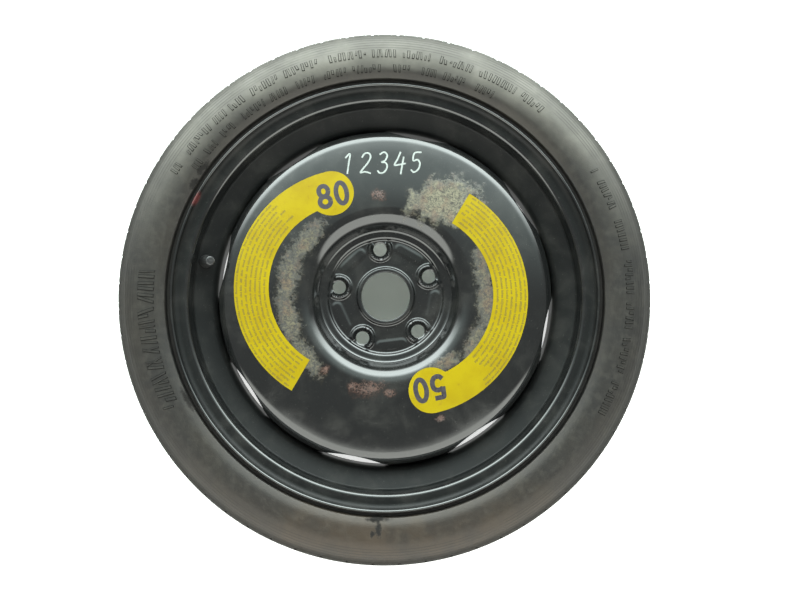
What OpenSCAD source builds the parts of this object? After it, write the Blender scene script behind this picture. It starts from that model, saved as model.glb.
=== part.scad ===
// Temporary spare wheel: a pressed steel disc welded into a rolled steel rim,
// with a narrow tyre, a snap-in valve and two curved speed labels.
// The wheel lies flat with its outer face up. The origin is the centre of the
// hub mounting face, and +Z points out of the car. Lengths are in millimetres.

/* [Rim] */
// Diameter at the bead seats
rim_seat_d = 462; // [452:1:472]
// Width between the flanges
rim_width = 88.9; // [84:0.1:96]
// Height of a flange above its bead seat
flange_h = 17.3; // [15:0.1:19]
// Sheet thickness of the rim
rim_sheet = 2.0; // [1.6:0.1:2.6]
// Depth of the well below the bead seat
well_depth = 28.4; // [26.5:0.1:30]
// Width of the well floor
well_floor_w = 29; // [26:0.5:32]
// Width of one bead seat
bead_seat_w = 20.4; // [19:0.1:22]
// Radius that the flange curls over
flange_curl_r = 9.5; // [8.5:0.1:10.5]
// Overhang of the flange lip past the flange face
lip_overhang = 13; // [12:0.1:14]

/* [Disc] */
// Sheet thickness of the disc
disc_sheet = 3.2; // [2.8:0.1:3.8]
// Distance from the rim's middle plane out to the mounting face
wheel_offset = 25.5; // [24:0.1:27]
// Height of the crest above the mounting face
crest_h = 27.2; // [25:0.1:30]
// Radial run of the recess wall from the hub floor to the crest
recess_run = 27; // [25:0.5:29]
// Drop of the dome from the crest to the shoulder
dome_drop = 9; // [7:0.1:11]
// Radius of the flat hub floor
hub_floor_r = 66.5; // [65:0.1:68]
// Height of the ledge around the hub floor
ledge_step = 3.6; // [2.5:0.1:4.5]
// Length of the flange that sits in the well
disc_flange_len = 19; // [16:0.5:22]
// Radial clearance between the disc's flange and the well
disc_fit = 0.1; // [0.05:0.01:0.2]

/* [Hub] */
// Diameter of the centre bore
bore_d = 57.1; // [55:0.1:60]
// Height of the collar around the centre bore
collar_h = 7.4; // [6:0.1:9]
// Diameter of the bolt circle
pcd = 112; // [108:0.5:114]
// Number of bolt holes
bolt_count = 5; // [5:1:5]
// Diameter of a bolt hole
bolt_hole_d = 15.6; // [14:0.1:17]
// Radius of the ball seat of a bolt hole
ball_seat_r = 13; // [12:0.5:14]
// Height of a bolt boss above the hub floor
boss_h = 3.4; // [2.5:0.1:4.5]
// Height of the pressed pads between the bolt holes
pad_h = 1.4; // [0.8:0.1:2]

/* [Windows] */
// Number of windows along the disc's edge
window_count = 8; // [8:1:8]
// Depth of a window, from the disc's edge inwards
window_depth = 10; // [8.5:0.1:11.5]
// Radius of the arc that a window is cut with
window_arc_r = 166; // [150:1:190]

/* [Tyre] */
// Height of the tyre's section above the bead seat
tyre_section_h = 85; // [81:1:91]
// Section width of the tyre
tyre_width = 124.8; // [120:0.2:130]
// Width of the tread
tread_w = 98; // [92:1:104]
// Rubber thickness under the tread
tread_wall = 11.5; // [10:0.1:13]
// Sidewall thickness
side_wall = 6.8; // [6:0.1:8]
// Number of grooves around the tread
groove_count = 4; // [2:1:5]
// Groove width
groove_w = 4; // [3:0.1:6]
// Groove depth
groove_depth = 4; // [3:0.1:6]
// Number of slots around each shoulder
slot_count = 64; // [48:1:72]
// Width of a shoulder slot
slot_w = 3.2; // [2:0.1:5]
// Length of a shoulder slot across the tread
slot_len = 15; // [10:0.5:18]
// Clearance between the tyre's beads and the rim
bead_fit = 0.1; // [0.05:0.01:0.2]

/* [Valve] */
// Diameter of the valve hole
valve_hole_d = 11.3; // [11:0.1:11.7]
// Lean of the valve towards the axis, the slope of the well's outer wall
wall_lean = 20; // [17:1:23]
// Length of the valve outside the rim
valve_len = 31.5; // [30:0.5:33]
// Diameter of the valve's threaded stem
stem_d = 7.7; // [7.5:0.1:8]
// Outer diameter of the valve cap
cap_d = 10.8; // [10.2:0.1:12]
// Travel of the valve core's pin
pin_travel = 1.2; // [0.8:0.1:1.5]

/* [Labels] */
// Outer radius of a curved label
label_r = 139; // [136:0.5:141]
// Width of a label's band
label_w = 41.2; // [36:0.2:44]
// Radius of a label's round head
label_head_r = 26.4; // [24:0.2:28]
// Angle that a label spans from its head's centre
label_span = 136; // [120:1:145]
// Thickness of the label film
label_film = 0.25; // [0.15:0.05:0.4]

/* [Hidden] */
$fn = 128;
eps = 0.01;

// Derived rim values
seat_r = rim_seat_d / 2;
half_w = rim_width / 2;
mid_z = -wheel_offset;
flange_r = seat_r + flange_h;
seat_taper = 5;
heel_r = 6.5;
seat_end_r = seat_r - bead_seat_w * tan(seat_taper);
well_r = seat_r - well_depth;
well_in_r = well_r - rim_sheet;
front_seat_s = half_w - bead_seat_w;
wall_run = (seat_end_r - well_r) * tan(wall_lean);
well_front_s = front_seat_s - wall_run;
well_back_s = well_front_s - well_floor_w;
well_bend_r = 8;
hump_bend_r = 6;
lip_drop = 2.7;

// Derived disc values
bore_r = bore_d / 2;
crest_r = hub_floor_r + recess_run;
disc_r = well_in_r - disc_fit;
window_r = disc_r - window_depth;
dome_r0 = crest_r + 5.5;
shoulder_r = disc_r - 19.5;
dome_r = (pow(shoulder_r - dome_r0, 2)) / (2 * dome_drop);
shoulder_slope = atan((shoulder_r - dome_r0) / dome_r);
shoulder_bend_r = 12;
disc_flange_top = mid_z + well_front_s - 5;
disc_flange_end = disc_flange_top - disc_flange_len;
crest_bend_r = 16;
ledge_r = hub_floor_r + 11;
wall_top_gap = 4;
bore_chamfer = 1;
valve_angle = 180;

// Derived tyre values
tyre_r = seat_r + tyre_section_h;
half_tyre = tyre_width / 2;
half_tread = tread_w / 2;
side_h = tyre_r - flange_r;
shoulder_drop = 7;

// Derived valve values: u runs along the valve from the outer face of the rim's wall
valve_mid_r = (seat_end_r + well_r) / 2 + 2.7;
valve_mid_z = mid_z + well_front_s + (valve_mid_r - well_r) * tan(wall_lean);
stem_core_r = 2.7;
stem_r = stem_d / 2;
thread_len = 9;
rubber_top = valve_len - thread_len;
stem_foot = -rim_sheet - 6;
core_chamber_r = 2.25;
core_top = valve_len - 0.6;
core_seat = valve_len - 7;
core_foot = valve_len - 13.5;
core_clear = 0.05;
chamber_foot = core_foot - 2.8 - pin_travel;
core_thread_r = 2.65;
pin_r = 0.5;
pin_cup_r = 1.7;
spring_wire_r = 0.14;
spring_r = 0.95;
spring_turns = 6;
cap_clear = 0.1;
cap_wall_end = 2.4;
cap_gap = 0.5;
cap_foot = rubber_top + cap_gap;
cap_seal_t = 1;
cap_roof = valve_len + cap_seal_t;

// A point on a circle
function on_circle(c, r, a) = [c[0] + r * cos(a), c[1] + r * sin(a)];
// Points along an arc
function arc(c, r, a0, a1, n = 6) = [for (i = [0:n]) on_circle(c, r, a0 + (a1 - a0) * i / n)];
function unit(v) = v / norm(v);
// An angle brought to between -180 and 180
function wrap(a) = a - 360 * round(a / 360);

// Points that round the corner b, between a and c, to radius r
function bend(a, b, c, r) =
    let (u = unit(a - b), v = unit(c - b), half = acos(u * v) / 2)
    r <= 0 || half > 89.5 ? [b] :
    let (centre = b + unit(u + v) * r / sin(half),
        p0 = b + u * r / tan(half) - centre,
        p1 = b + v * r / tan(half) - centre,
        a0 = atan2(p0[1], p0[0]),
        turn = wrap(atan2(p1[1], p1[0]) - a0),
        n = max(2, ceil(abs(turn) / 13)))
    [for (i = [0:n]) on_circle(centre, r, a0 + turn * i / n)];

// A path through corners [x, y, bend radius]
function rounded(p) = [for (i = [0:len(p) - 1])
    each (i == 0 || i == len(p) - 1 ? [[p[i][0], p[i][1]]] :
        bend([p[i - 1][0], p[i - 1][1]], [p[i][0], p[i][1]], [p[i + 1][0], p[i + 1][1]], p[i][2]))];

// The direction to the right of a path at point i, long enough to keep a sheet's thickness
function right_of(p, i) =
    let (d0 = unit(p[max(i, 1)] - p[max(i, 1) - 1]),
        d1 = unit(p[min(i, len(p) - 2) + 1] - p[min(i, len(p) - 2)]),
        n0 = [d0[1], -d0[0]], n1 = [d1[1], -d1[0]], n = unit(n0 + n1))
    n / (n * n0);
// A closed sheet section of thickness t on the right of a path
function sheet(p, t) = concat(p, [for (i = [len(p) - 1:-1:0]) p[i] + right_of(p, i) * t]);
function mirrored(p) = [for (i = [len(p) - 1:-1:0]) [p[i][0], -p[i][1]]];
function raised(p, z) = [for (q = p) [q[0], q[1] + z]];

// The rim's tyre side, as [radius, distance from the middle plane], from the outer lip to the inner one
function flange_corners(side) = [
    [flange_r - lip_drop, side * (half_w + lip_overhang), 0],
    [flange_r, side * (half_w + flange_curl_r + 1.8), 2.5],
    [flange_r, side * half_w, flange_curl_r],
    [seat_r, side * half_w, heel_r],
    [seat_end_r, side * front_seat_s, hump_bend_r]];
rim_path = rounded(concat(flange_corners(1),
    [[well_r, well_front_s, well_bend_r], [well_r, well_back_s, well_bend_r]],
    [for (i = [4:-1:0]) flange_corners(-1)[i]]));

// The disc's outer face, as [radius, height], from the bore to the end of its flange
function dome_z(r) = crest_h - pow(r - dome_r0, 2) / (2 * dome_r);
ledge_z = disc_sheet + ledge_step;
shoulder_z = dome_z(shoulder_r);
corner_r = disc_r - 6.5;
corner_z = shoulder_z - (corner_r - shoulder_r) * tan(shoulder_slope);
dome_steps = 12;
disc_path = concat(
    rounded([[bore_r, disc_sheet, 0], [hub_floor_r, disc_sheet, 3], [hub_floor_r + 3, ledge_z, 4.5],
        [ledge_r, ledge_z + 0.4, 5], [crest_r - wall_top_gap, crest_h, crest_bend_r],
        [dome_r0, crest_h, 0]]),
    [for (i = [1:dome_steps - 1])
        let (r = dome_r0 + (shoulder_r - dome_r0) * i / dome_steps) [r, dome_z(r)]],
    rounded([[shoulder_r, shoulder_z, 0], [corner_r, corner_z, shoulder_bend_r],
        [disc_r, disc_flange_top, 5], [disc_r, disc_flange_end, 0]]));

// The tyre's outside from the crown to the bead's toe, and its inside back to the crown
curl_c = [flange_r - flange_curl_r, half_w + flange_curl_r];
heel_c = [seat_r + heel_r, half_w - heel_r];
toe = [seat_r + bead_fit - (bead_seat_w - 3) * tan(seat_taper), half_w - bead_seat_w + 3];
crown_r = half_tread * half_tread / (2 * shoulder_drop);
function crown(s) = tyre_r - s * s / (2 * crown_r);
wide_r = flange_r + 0.41 * side_h;
tyre_out = rounded([
    [crown(0), 0, 0], [crown(half_tread * 0.3), half_tread * 0.3, 60],
    [crown(half_tread * 0.7), half_tread * 0.7, 60], [crown(half_tread), half_tread, 9],
    [tyre_r - 0.28 * side_h, half_tyre - 4.2, 30], [wide_r + 5, half_tyre, 26],
    [flange_r + 13, half_tyre - 1.3, 22], [flange_r + 6.6, half_w + lip_overhang - 0.6, 5],
    [flange_r + 2.6, half_w + lip_overhang - 4.6, 2],
    on_circle(curl_c, flange_curl_r + bead_fit + 0.2, -20)]);
tyre_half = concat(tyre_out,
    arc(curl_c, flange_curl_r + bead_fit, -32, -90, 5),
    arc(heel_c, heel_r - bead_fit, 90, 180 - seat_taper, 7),
    rounded([toe, [toe[0] + 3.4, toe[1] - 1.2, 1.5], [seat_r + 12, half_w - 11, 8],
        [flange_r + 1, half_w - 1, 20], [flange_r + 14, half_tyre - side_wall - 0.6, 24],
        [wide_r + 6, half_tyre - side_wall, 24], [tyre_r - tread_wall - 10, half_tread - 1, 14],
        [tyre_r - tread_wall - 1.6, half_tread * 0.55, 60], [tyre_r - tread_wall, 0, 0]]));

// Stands what is drawn along Z on the valve's axis
module on_valve() {
    rotate([0, 0, valve_angle]) translate([valve_mid_r, 0, valve_mid_z])
        rotate([0, -wall_lean, 0]) translate([0, 0, rim_sheet]) children();
}

module tyre_section() {
    polygon(raised(concat(tyre_half, mirrored(tyre_half)), mid_z));
}

module tread_grooves() {
    pitch = (tread_w - 2 * (slot_len + 3)) / (groove_count - 1);
    for (i = [0:groove_count - 1])
        let (s = (i - (groove_count - 1) / 2) * pitch)
            translate([0, 0, mid_z + s - groove_w / 2]) difference() {
                cylinder(h = groove_w, r = tyre_r + 1);
                translate([0, 0, -1]) cylinder(h = groove_w + 2, r = crown(s) - groove_depth);
            }
}

module shoulder_slots() {
    for (side = [-1, 1], i = [0:slot_count - 1])
        rotate([0, 0, (i + (side + 1) / 4) * 360 / slot_count])
            translate([crown(half_tread) - groove_depth * 0.7, -slot_w / 2,
                mid_z + side * (half_tread + 2) - (side > 0 ? slot_len : 0)])
                cube([shoulder_drop + groove_depth * 2, slot_w, slot_len]);
}

module tyre() {
    color("dimgray") difference() {
        rotate_extrude() tyre_section();
        tread_grooves();
        shoulder_slots();
    }
}

module rim() {
    color([0.10, 0.10, 0.11]) difference() {
        rotate_extrude() polygon(raised(sheet(rim_path, rim_sheet), mid_z));
        on_valve() translate([0, 0, -rim_sheet - 4]) cylinder(h = rim_sheet + 8, d = valve_hole_d);
    }
}

// A pad with rounded ends that lies across a radius, h high on a floor at height z
module pad(half_width, length, h, z) {
    translate([0, 0, z - eps]) linear_extrude(height = h + eps) union() {
        square([2 * half_width, length], center = true);
        for (side = [-1, 1]) translate([0, side * length / 2]) circle(r = half_width);
    }
}

boss_top_z = disc_sheet + boss_h;
seat_lift = 6;
boss_top_r = sqrt(ball_seat_r * ball_seat_r - seat_lift * seat_lift) + 1.2;
boss_foot_r = boss_top_r + boss_h * 0.8;
pad_r = (hub_floor_r + pcd / 2) / 2 - 4;
pad_half_w = 5.2;
pad_len = 25;

module bolt_places() {
    for (i = [0:bolt_count - 1]) rotate([0, 0, valve_angle + i * 360 / bolt_count])
        translate([pcd / 2, 0, 0]) children();
}

module pads(h, width_change, z) {
    for (i = [0:bolt_count - 1]) rotate([0, 0, valve_angle + (i + 0.5) * 360 / bolt_count])
        translate([pad_r, 0, 0]) pad(pad_half_w + width_change, pad_len, h, z);
}

module collar() {
    rotate_extrude() polygon(concat([[bore_r, disc_sheet / 2], [bore_r + 8, disc_sheet / 2]],
        arc([bore_r + 8, disc_sheet + 3], 3, -90, -180, 4),
        arc([bore_r + 3.5, collar_h - 1.5], 1.5, 0, 90, 3),
        arc([bore_r + 1, collar_h - 1], 1, 90, 180, 3)));
}

module windows() {
    for (i = [0:window_count - 1]) rotate([0, 0, valve_angle + i * 360 / window_count])
        translate([window_r + window_arc_r, 0, disc_flange_end - 5])
            cylinder(h = crest_h - disc_flange_end + 10, r = window_arc_r);
}

module wheel_disc() {
    color([0.16, 0.18, 0.18]) difference() {
        union() {
            rotate_extrude() polygon(sheet(disc_path, disc_sheet));
            collar();
            bolt_places() translate([0, 0, disc_sheet - 1])
                cylinder(h = boss_h + 1, r1 = boss_foot_r + 0.8, r2 = boss_top_r);
            pads(pad_h, 0, disc_sheet);
        }
        translate([0, 0, -eps]) cylinder(h = disc_sheet + collar_h, r = bore_r);
        translate([0, 0, -eps]) cylinder(h = bore_chamfer + eps, r1 = bore_r + bore_chamfer + eps, r2 = bore_r);
        bolt_places() translate([0, 0, -1]) cylinder(h = boss_top_z + 2, d = bolt_hole_d);
        bolt_places() translate([0, 0, boss_top_z + seat_lift]) sphere(r = ball_seat_r);
        pads(pad_h, -1.6, 0);
        windows();
    }
}

module weld_seams() {
    leg = 3;
    tab_angle = 360 / window_count;
    weld_angle = 12;
    color([0.22, 0.23, 0.23])
        for (i = [0:window_count - 1])
            rotate([0, 0, valve_angle + (i + 0.5) * tab_angle - weld_angle / 2])
                rotate_extrude(angle = weld_angle)
                    polygon([[well_in_r, disc_flange_end], [disc_r - leg, disc_flange_end],
                        [disc_r - leg * 0.45, disc_flange_end - leg * 0.7],
                        [well_in_r, disc_flange_end - leg * 1.1]]);
}

// The flat outline of a label about its own arc's centre, with its head at angle 0
module label_outline() {
    mid_r = label_r - label_head_r + 0.8;
    union() {
        intersection() {
            difference() {
                circle(r = label_r);
                circle(r = label_r - label_w);
            }
            polygon(concat([[0, 0]], [for (i = [0:8]) on_circle([0, 0], label_r * 1.3, label_span * i / 8)]));
        }
        translate([mid_r - 0.8, 0]) circle(r = label_head_r);
    }
}

// A film on the dome, with its arc's centre at a distance and angle from the axis
module label(distance, at, head_angle) {
    color([0.88, 0.80, 0.15]) intersection() {
        rotate([0, 0, at]) translate([distance, 0, 0]) rotate([0, 0, head_angle - at])
            linear_extrude(height = crest_h + 5) label_outline();
        rotate_extrude() polygon(sheet(
            [for (i = [dome_steps:-1:0])
                let (r = dome_r0 + (shoulder_r - dome_r0) * i / dome_steps) [r, dome_z(r)]],
            label_film));
    }
}

left_label_distance = 38.7;
left_label_at = 176.7;
left_label_head = 114.5;
module speed_label_left() {
    label(left_label_distance, left_label_at, left_label_head);
}

right_label_distance = 26.9;
right_label_at = 11.1;
right_label_head = -65.6;
module speed_label_right() {
    label(right_label_distance, right_label_at, right_label_head);
}

module valve_body() {
    neck_r = valve_hole_d / 2 - 0.05;
    head_r = neck_r + 3.4;
    color("black") on_valve() rotate_extrude() polygon([
        [stem_core_r, stem_foot], [head_r - 1, stem_foot], [head_r, stem_foot + 1.2],
        [head_r, -rim_sheet - 1.6], [head_r - 1, -rim_sheet - 0.9], [neck_r, -rim_sheet - 0.9],
        [neck_r, 0.9], [neck_r + 1.6, 0.9], [neck_r + 2.2, 1.8], [neck_r + 2, 4],
        [neck_r + 0.6, 9], [neck_r - 0.4, 16], [stem_r + 1, rubber_top - 3],
        [stem_r + 1, rubber_top], [stem_core_r, rubber_top]]);
}

module valve_stem() {
    color([0.72, 0.58, 0.30]) on_valve() rotate_extrude() polygon([
        [1.6, stem_foot], [stem_core_r, stem_foot], [stem_core_r, rubber_top],
        [stem_r - 0.6, rubber_top], [stem_r, rubber_top + 0.6], [stem_r, valve_len - 0.6],
        [stem_r - 0.6, valve_len], [core_thread_r + core_clear + 0.3, valve_len],
        [core_thread_r + core_clear, valve_len - 0.3], [core_thread_r + core_clear, core_seat + 1],
        [core_chamber_r, core_seat - 1], [core_chamber_r, chamber_foot], [1.6, chamber_foot - 1]]);
}

module valve_core_body() {
    color([0.78, 0.64, 0.34]) on_valve() difference() {
        rotate_extrude() polygon([
            [pin_r + 0.1, core_foot], [1.5, core_foot], [1.7, core_foot + 0.8], [1.7, core_seat - 1.6],
            [core_chamber_r - 0.55, core_seat - 1.5], [core_chamber_r - 0.55, core_seat + 0.6],
            [core_thread_r - 0.15, core_seat + 1.4], [core_thread_r, core_seat + 1.8],
            [core_thread_r, core_top - 2.6], [1.9, core_top - 2.4], [1.9, core_top],
            [spring_r + 0.4, core_top], [spring_r + 0.4, core_foot + 2], [pin_r + 0.1, core_foot + 2]]);
        for (side = [-1, 1]) translate([side * 2.4 - 0.9, -3, core_top - 2]) cube([1.8, 6, 3]);
    }
}

module valve_core_seal() {
    color([0.12, 0.12, 0.12]) on_valve() rotate_extrude() polygon([
        [core_chamber_r - 0.5, core_seat - 1.4], [core_chamber_r - 0.04, core_seat - 1.3],
        [core_chamber_r - 0.04, core_seat - 1], [core_chamber_r + 0.2, core_seat + 0.2], [core_chamber_r - 0.1, core_seat + 0.6],
        [core_chamber_r - 0.5, core_seat + 0.6]]);
}

spring_foot = core_foot + 2.1;
spring_top = core_top - 1.3;
module valve_core_pin() {
    color([0.70, 0.70, 0.72]) on_valve() rotate_extrude() polygon([
        [0, core_foot - 2.2], [pin_cup_r - 0.5, core_foot - 2.2], [pin_cup_r, core_foot - 1.6],
        [pin_cup_r, core_foot - 0.05], [pin_r, core_foot - 0.05], [pin_r, spring_top + 0.05],
        [spring_r + 0.2, spring_top + 0.05], [spring_r + 0.2, spring_top + 0.5],
        [pin_r + 0.2, spring_top + 0.7], [pin_r + 0.2, core_top - 0.1], [pin_r, core_top],
        [0, core_top]]);
}

// A coil of round wire from z0 to z1
module coil(r, wire_r, z0, z1, turns, steps = 14, sides = 6) {
    n = turns * steps;
    rings = [for (i = [0:n]) let (a = 360 * i / steps, z = z0 + (z1 - z0) * i / n)
        [for (k = [0:sides - 1]) let (b = 360 * k / sides)
            [(r + wire_r * cos(b)) * cos(a), (r + wire_r * cos(b)) * sin(a), z + wire_r * sin(b)]]];
    polyhedron(points = [for (ring = rings) each ring],
        faces = concat([[for (k = [0:sides - 1]) k]],
            [for (i = [0:n - 1], k = [0:sides - 1])
                let (a = i * sides + k, b = i * sides + (k + 1) % sides) [a, a + sides, b + sides, b]],
            [[for (k = [sides - 1:-1:0]) n * sides + k]]));
}

module valve_core_spring() {
    color("silver") on_valve()
        coil(spring_r, spring_wire_r, spring_foot + spring_wire_r, spring_top - spring_wire_r, spring_turns);
}

module valve_cap() {
    cap_r = cap_d / 2;
    bore = stem_r + cap_clear;
    flutes = 12;
    color([0.13, 0.13, 0.14]) on_valve() difference() {
        rotate_extrude() polygon(concat(
            [[bore + 0.4, cap_foot], [cap_r - 0.5, cap_foot], [cap_r, cap_foot + 0.5], [cap_r, cap_roof]],
            arc([cap_r - 2, cap_roof + cap_wall_end - 2], 2, 0, 90, 4),
            [[0, cap_roof + cap_wall_end], [0, cap_roof], [bore, cap_roof], [bore, cap_foot + 0.4]]));
        translate([0, 0, cap_foot + 1]) linear_extrude(height = cap_roof - cap_foot - 1.4)
            for (i = [0:flutes - 1]) rotate(i * 360 / flutes) translate([cap_r + 0.45, 0]) circle(r = 0.9);
    }
}

module valve_cap_seal() {
    color([0.25, 0.24, 0.23]) on_valve() translate([0, 0, valve_len + 0.02]) difference() {
        cylinder(h = cap_seal_t - 0.04, r = stem_r - 0.05);
        translate([0, 0, -1]) cylinder(h = cap_seal_t + 2, r = 1.7);
    }
}

tyre();
rim();
wheel_disc();
weld_seams();
speed_label_left();
speed_label_right();
valve_body();
valve_stem();
valve_core_body();
valve_core_seal();
valve_core_pin();
valve_core_spring();
valve_cap();
valve_cap_seal();
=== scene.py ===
"""Looks of a temporary spare wheel: pressed and rolled steel, a narrow tyre, a snap-in valve,
two printed film labels, a number in paint marker, and the dirt and rust of years in a boot."""

import math
import random
from functools import partial

import bmesh
import bpy
import numpy as np
from mathutils import Matrix, Vector


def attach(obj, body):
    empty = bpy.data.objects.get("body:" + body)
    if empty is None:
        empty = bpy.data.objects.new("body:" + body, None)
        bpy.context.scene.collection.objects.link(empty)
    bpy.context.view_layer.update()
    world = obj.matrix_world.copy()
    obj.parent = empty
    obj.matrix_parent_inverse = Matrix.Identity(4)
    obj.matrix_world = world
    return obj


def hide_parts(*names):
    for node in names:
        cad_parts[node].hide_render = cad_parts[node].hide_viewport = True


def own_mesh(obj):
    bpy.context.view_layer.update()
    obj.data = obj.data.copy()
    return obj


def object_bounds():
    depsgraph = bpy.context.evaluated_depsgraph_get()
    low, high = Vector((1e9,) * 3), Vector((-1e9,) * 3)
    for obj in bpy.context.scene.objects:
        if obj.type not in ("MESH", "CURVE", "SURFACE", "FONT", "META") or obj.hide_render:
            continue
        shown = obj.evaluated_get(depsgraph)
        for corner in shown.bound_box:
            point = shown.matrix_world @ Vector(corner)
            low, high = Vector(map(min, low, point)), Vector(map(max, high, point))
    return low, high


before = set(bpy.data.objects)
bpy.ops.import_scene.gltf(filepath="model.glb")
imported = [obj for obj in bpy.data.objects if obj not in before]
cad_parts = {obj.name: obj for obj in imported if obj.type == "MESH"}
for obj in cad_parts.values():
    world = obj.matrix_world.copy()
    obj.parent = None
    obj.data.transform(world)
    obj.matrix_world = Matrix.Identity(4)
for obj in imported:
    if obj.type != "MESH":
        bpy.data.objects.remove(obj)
cad_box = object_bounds()

MM = 0.001
random.seed(7)

# Sizes in millimetres: the part's own, with a few of them fitted closer to the photograph
SEAT_R, HALF_RIM, MID_Z = 231, 44.45, -25.5
FLANGE_R, FLANGE_CURL, SEAT_END_R = 248.3, 9.5, 229.215
WELL_R, WELL_FRONT, WELL_BACK, SEAT_WIDTH = 202.6, 14.363, -14.637, 20.4
RIM_SHEET, DISC_SHEET = 2.0, 3.2
BORE_R, FLOOR_R, LEDGE_Z, COLLAR_H = 28.55, 66.5, 6.8, 7.4
CREST_Z, CREST_R, DOME_START, DOME_DROP, SHOULDER_R, DISC_R = 27.2, 93.5, 103.5, 9, 181, 200.5
DOME_BEND = (SHOULDER_R - DOME_START) ** 2 / (2 * DOME_DROP)
DISC_TOP_EDGE, DISC_END = -16.14, -35.14
BOLTS, BOLT_CIRCLE_R, BOLT_HOLE_R, BALL_R, BOSS_TOP, BOSS_R = 5, 56, 7.8, 13, 6.6, 12.73
PAD_R, PAD_HALF_W, PAD_LENGTH, PAD_H = 57.25, 5.2, 25, 0.8
WINDOWS, WINDOW_R, WINDOW_ARC = 8, 189.4, 166
TYRE_R, HALF_TYRE, HALF_TREAD, CROWN_DROP, TREAD_WALL, SIDE_WALL = 315.9, 61.3, 49, 7, 11.5, 6.8
SLOTS, SLOT_W, SLOT_LENGTH, GROOVE_W, GROOVE_DEPTH = 64, 3.2, 15, 4, 4
SLOT_DEPTH, SLOT_TAPER, NICK_DEPTH, SIPE_W, SIPE_DEPTH = 2.4, 0.5, 1.5, 0.9, 3
LABEL_R, LABEL_W, LABEL_HEAD_R, LABEL_SPAN, LABEL_FILM = 139, 41.2, 26.4, 136, 0.25
LABELS = {"left": (38.7, 176.7, 114.5), "right": (26.9, 11.1, -65.6)}

# The photograph is turned by this angle against the wheel, whose valve lies on -X
PHOTO_TURN = 11.1


def on_circle(centre, radius, degrees):
    a = math.radians(degrees)
    return (centre[0] + radius * math.cos(a), centre[1] + radius * math.sin(a))


def arc(centre, radius, start, end, count):
    return [on_circle(centre, radius, start + (end - start) * i / count) for i in range(count + 1)]


def bend(a, b, c, radius, step):
    """Points that round the corner b between a and c."""
    a, b, c = (np.array(p[:2], float) for p in (a, b, c))
    u, v = (a - b) / np.linalg.norm(a - b), (c - b) / np.linalg.norm(c - b)
    half = math.acos(max(-1, min(1, float(u @ v)))) / 2
    if radius <= 0 or half > math.radians(89.7):
        return [tuple(b)]
    centre = b + (u + v) / np.linalg.norm(u + v) * radius / math.sin(half)
    start, end = b + u * radius / math.tan(half) - centre, b + v * radius / math.tan(half) - centre
    a0 = math.atan2(start[1], start[0])
    turn = math.remainder(math.atan2(end[1], end[0]) - a0, math.tau)
    count = max(2, math.ceil(abs(math.degrees(turn)) / step))
    return arc(centre, radius, math.degrees(a0), math.degrees(a0 + turn), count)


def rounded(corners, step):
    """A path through corners given as (radius, height, bend), with a point every few degrees of bend."""
    path = []
    for i, corner in enumerate(corners):
        if i in (0, len(corners) - 1):
            path.append(tuple(corner[:2]))
        else:
            path += bend(corners[i - 1], corner, corners[i + 1], corner[2], step)
    return path


def offset(path, thickness):
    """The path moved to its right by a sheet's thickness, back to front."""
    p = np.array(path, float)
    d = np.diff(p, axis=0)
    d /= np.linalg.norm(d, axis=1)[:, None]
    before, after = np.vstack([d[:1], d]), np.vstack([d, d[-1:]])
    n0 = np.stack([before[:, 1], -before[:, 0]], 1)
    n1 = np.stack([after[:, 1], -after[:, 0]], 1)
    n = n0 + n1
    n /= np.linalg.norm(n, axis=1)[:, None]
    n /= np.sum(n * n0, axis=1)[:, None]
    return [tuple(q) for q in (p + n * thickness)[::-1]]


def loft(rows, columns):
    """Quads over a grid of points that closes on itself both ways."""
    faces = []
    for i in range(rows):
        below = (i + 1) % rows
        for j in range(columns):
            k = (j + 1) % columns
            faces.append((i * columns + j, i * columns + k, below * columns + k, below * columns + j))
    return faces


# Edges that bend more than this many degrees stay sharp
SHARP_EDGE = 32


def piece(name, points, faces, material, node=None, slot=None, body="wheel", sharp=SHARP_EDGE):
    """Makes a closed mesh from points in millimetres and rides it on its body."""
    mesh = bpy.data.meshes.new(name)
    mesh.from_pydata((np.asarray(points, float) * MM).tolist(), [], faces)
    work = bmesh.new()
    work.from_mesh(mesh)
    bmesh.ops.recalc_face_normals(work, faces=work.faces)
    work.to_mesh(mesh)
    work.free()
    made = bpy.data.objects.new(name, mesh)
    bpy.context.scene.collection.objects.link(made)
    smooth(made, sharp)
    mesh.materials.append(material)
    for replaced in node or []:
        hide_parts(replaced)
    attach(made, body)
    return made


def smooth(made, degrees):
    made.data.shade_smooth()
    made.data.set_sharp_from_angle(angle=math.radians(degrees))


def turned(outline, angles, shape=None):
    """Turns a closed outline round the wheel's axis. shape may move it differently at each angle."""
    p = np.array(outline, float)
    a = np.asarray(angles, float)[None, :]
    r, z = p[:, :1] + a * 0, p[:, 1:] + a * 0
    if shape:
        r, z = shape(r, z, a)
    points = np.stack([r * np.cos(a), r * np.sin(a), z + a * 0], 2).reshape(-1, 3)
    return points, loft(len(outline), a.shape[1])


def hex_colour(text):
    """A colour written as sRGB hex, turned to linear."""
    parts = [int(text[i:i + 2], 16) / 255 for i in (1, 3, 5)]
    return tuple(c / 12.92 if c <= 0.04045 else ((c + 0.055) / 1.055) ** 2.4 for c in parts) + (1.0,)


# Settings that many nodes share
PLUS, MINUS, TIMES, LARGER = ({"operation": name} for name in ("ADD", "SUBTRACT", "MULTIPLY", "MAXIMUM"))
SMOOTH = {"interpolation_type": "SMOOTHSTEP"}
COLOURS = {"data_type": "RGBA"}


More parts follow.
